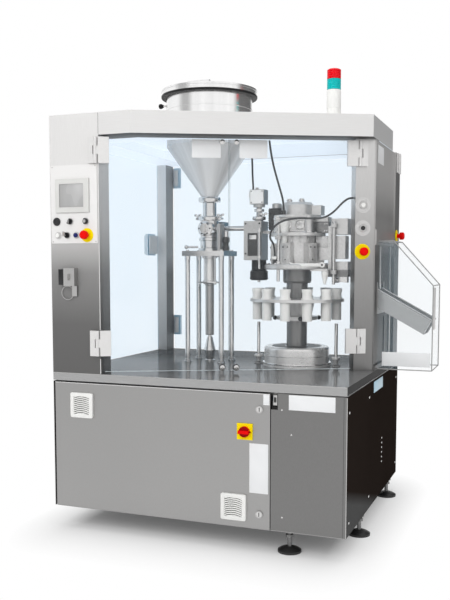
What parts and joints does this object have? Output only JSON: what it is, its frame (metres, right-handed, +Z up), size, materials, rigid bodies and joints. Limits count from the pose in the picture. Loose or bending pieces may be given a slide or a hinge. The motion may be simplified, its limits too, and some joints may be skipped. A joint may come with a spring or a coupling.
{
  "type": "tube filling machine",
  "caption": "Rotary tube filling machine: a steel cabinet with a hopper, dosing valve, indexing turret, glass guard doors, control column, outfeed chute and signal tower.",
  "frame": {"origin": "middle of the machine's bounding box on the floor", "axes": "+X to the right along the cabinet's front, +Y from the front to the back, +Z up"},
  "size_m": [1.725, 1.327, 2.215],
  "materials": {
    "brushed_stainless": "brushed",
    "polished_stainless": "polished",
    "light_panel": "satin",
    "frame_steel": "matt",
    "clear_glass": "clear",
    "clear_sheet": "clear",
    "white_fittings": "satin",
    "white_plastic": "satin",
    "black_plastic": "satin",
    "foot_rubber": "matt",
    "yellow_plastic": "satin",
    "red_plastic": "satin",
    "blue_plastic": "satin",
    "dark_metal": "satin",
    "drive_grey": "satin",
    "hose_black": "satin",
    "tower_lens": "satin"
  },
  "bodies": {
    "machine": {"base_frame": "frame_steel", "worktop": "polished_stainless", "base_panels": "brushed_stainless", "levelling_feet": "foot_rubber", "control_column": "brushed_stainless", "control_panel": "light_panel", "touch_screen": "white_plastic", "column_latch": "brushed_stainless", "button_bezels": "polished_stainless", "estop_collars": "yellow_plastic", "enclosure_frame": "brushed_stainless", "canopy": "light_panel", "hinge_leaves": "white_fittings", "outfeed_chute": "brushed_stainless", "hood_panels": "clear_sheet", "signal_tower": "tower_lens", "hopper": "polished_stainless", "valve_body": "polished_stainless", "dosing_stand": "brushed_stainless", "dosing_cylinder": "polished_stainless", "product_line": "polished_stainless", "fill_head": "dark_metal", "turret_drum": "brushed_stainless", "turret_column": "dark_metal", "turret_head": "polished_stainless", "drive_units": "drive_grey", "air_hoses": "hose_black"},
    "cabinet_door": {"base_door": "brushed_stainless", "fan_filters": "white_plastic", "switch_plate": "yellow_plastic"},
    "switch_knob": {"switch_knob": "red_plastic"},
    "door_lock_upper": {"door_lock_upper": "brushed_stainless"},
    "door_lock_lower": {"door_lock_lower": "brushed_stainless"},
    "latch_key": {"latch_key": "brushed_stainless"},
    "panel_estop": {"panel_estop": "red_plastic"},
    "post_estop": {"post_estop": "red_plastic"},
    "rear_estop": {"rear_estop": "red_plastic"},
    "panel_white_button": {"panel_white_button": "white_plastic"},
    "panel_blue_button": {"panel_blue_button": "blue_plastic"},
    "mode_selector": {"mode_selector": "black_plastic"},
    "speed_knob": {"speed_knob": "black_plastic"},
    "key_selector": {"key_selector": "black_plastic"},
    "post_white_button": {"post_white_button": "white_plastic"},
    "post_black_button": {"post_black_button": "black_plastic"},
    "front_left_door": {"front_left_glass": "clear_glass", "front_left_fittings": "white_fittings"},
    "front_right_door": {"front_right_glass": "clear_glass", "front_right_fittings": "white_fittings"},
    "side_door": {"side_door_glass": "clear_glass", "side_door_fittings": "white_fittings"},
    "rear_door": {"rear_door_glass": "clear_glass", "rear_door_fittings": "white_fittings"},
    "hopper_lid": {"hopper_lid": "polished_stainless"},
    "valve_rotor": {"valve_rotor": "polished_stainless"},
    "dosing_piston": {"dosing_piston": "polished_stainless"},
    "seal_jaw": {"seal_jaw": "polished_stainless"},
    "turret_disc": {"index_disc": "polished_stainless", "tube_holders": "white_plastic"},
    "fill_lift_rod": {"fill_lift_rod": "polished_stainless"},
    "eject_lift_rod": {"eject_lift_rod": "polished_stainless"}
  },
  "joints": [
    {"name": "cabinet_door_hinge", "type": "hinge", "parent": "machine", "child": "cabinet_door", "pos_m": [-0.7995, -0.6035, 0.406], "axis": [0, 0, -1], "range_deg": [0, 100]},
    {"name": "main_switch_turn", "type": "hinge", "parent": "cabinet_door", "child": "switch_knob", "pos_m": [0.1495, -0.6165, 0.533], "axis": [0, -1, 0], "range_deg": [0, 90]},
    {"name": "upper_lock_turn", "type": "hinge", "parent": "cabinet_door", "child": "door_lock_upper", "pos_m": [0.2165, -0.6165, 0.634], "axis": [0, -1, 0], "range_deg": [0, 90]},
    {"name": "lower_lock_turn", "type": "hinge", "parent": "cabinet_door", "child": "door_lock_lower", "pos_m": [0.2165, -0.6165, 0.17], "axis": [0, 1, 0], "range_deg": [0, 90]},
    {"name": "latch_key_turn", "type": "hinge", "parent": "machine", "child": "latch_key", "pos_m": [-0.7093, -0.6165, 1.2015], "axis": [0, -1, 0], "range_deg": [0, 90]},
    {"name": "panel_estop_push", "type": "slide", "parent": "machine", "child": "panel_estop", "axis": [0, 1, 0], "range_m": [0, 0.006], "stiffness_N_per_m": 1500},
    {"name": "post_estop_push", "type": "slide", "parent": "machine", "child": "post_estop", "axis": [-0.4529, 0.8915, 0], "range_m": [0, 0.006], "stiffness_N_per_m": 1500},
    {"name": "rear_estop_push", "type": "slide", "parent": "machine", "child": "rear_estop", "axis": [-1, 0, 0], "range_m": [0, 0.006], "stiffness_N_per_m": 1500},
    {"name": "panel_white_button_push", "type": "slide", "parent": "machine", "child": "panel_white_button", "axis": [0, 1, 0], "range_m": [0, 0.004], "stiffness_N_per_m": 800},
    {"name": "panel_blue_button_push", "type": "slide", "parent": "machine", "child": "panel_blue_button", "axis": [0, 1, 0], "range_m": [0, 0.004], "stiffness_N_per_m": 800},
    {"name": "post_white_button_push", "type": "slide", "parent": "machine", "child": "post_white_button", "axis": [-0.4529, 0.8915, 0], "range_m": [0, 0.004], "stiffness_N_per_m": 800},
    {"name": "post_black_button_push", "type": "slide", "parent": "machine", "child": "post_black_button", "axis": [-0.4529, 0.8915, 0], "range_m": [0, 0.004], "stiffness_N_per_m": 800},
    {"name": "mode_selector_turn", "type": "hinge", "parent": "machine", "child": "mode_selector", "pos_m": [-0.7125, -0.6165, 1.459], "axis": [0, -1, 0], "range_deg": [-45, 90]},
    {"name": "speed_knob_turn", "type": "hinge", "parent": "machine", "child": "speed_knob", "pos_m": [-0.6295, -0.6165, 1.459], "axis": [0, -1, 0], "range_deg": [-135, 135]},
    {"name": "key_selector_turn", "type": "hinge", "parent": "machine", "child": "key_selector", "pos_m": [-0.7295, -0.6165, 1.395], "axis": [0, -1, 0], "range_deg": [-45, 45]},
    {"name": "front_left_door_hinge", "type": "hinge", "parent": "machine", "child": "front_left_door", "pos_m": [-0.5725, -0.6285, 1.3], "axis": [0, 0, -1], "range_deg": [0, 95]},
    {"name": "front_right_door_hinge", "type": "hinge", "parent": "machine", "child": "front_right_door", "pos_m": [0.5273, -0.06975, 1.3], "axis": [0, 0, 1], "range_deg": [0, 95]},
    {"name": "side_door_hinge", "type": "hinge", "parent": "machine", "child": "side_door", "pos_m": [-0.8345, -0.5385, 1.3], "axis": [0, 0, 1], "range_deg": [0, 100]},
    {"name": "rear_door_hinge", "type": "hinge", "parent": "machine", "child": "rear_door", "pos_m": [-0.7795, 0.6355, 1.3], "axis": [0, 0, 1], "range_deg": [0, 100]},
    {"name": "hopper_lid_hinge", "type": "hinge", "parent": "machine", "child": "hopper_lid", "pos_m": [-0.3025, 0.3445, 2.151], "axis": [-1, 0, 0], "range_deg": [0, 95]},
    {"name": "valve_turn", "type": "hinge", "parent": "machine", "child": "valve_rotor", "pos_m": [-0.3025, 0.0835, 1.447], "axis": [0, -1, 0], "range_deg": [0, 90]},
    {"name": "dosing_stroke", "type": "slide", "parent": "machine", "child": "dosing_piston", "axis": [0, 0, 1], "range_m": [0, 0.09]},
    {"name": "jaw_slide", "type": "slide", "parent": "machine", "child": "seal_jaw", "axis": [-1, 0, 0], "range_m": [0, 0.025]},
    {"name": "turret_index", "type": "hinge", "parent": "machine", "child": "turret_disc", "pos_m": [0.1775, 0.0835, 1.082], "axis": [0, 0, 1], "continuous": true},
    {"name": "fill_lift", "type": "slide", "parent": "machine", "child": "fill_lift_rod", "axis": [0, 0, 1], "range_m": [0, 0.06]},
    {"name": "eject_lift", "type": "slide", "parent": "machine", "child": "eject_lift_rod", "axis": [0, 0, 1], "range_m": [0, 0.06]}
  ],
  "couplings": [
    {"joint": "eject_lift", "follows": "fill_lift", "ratio": 1}
  ]
}
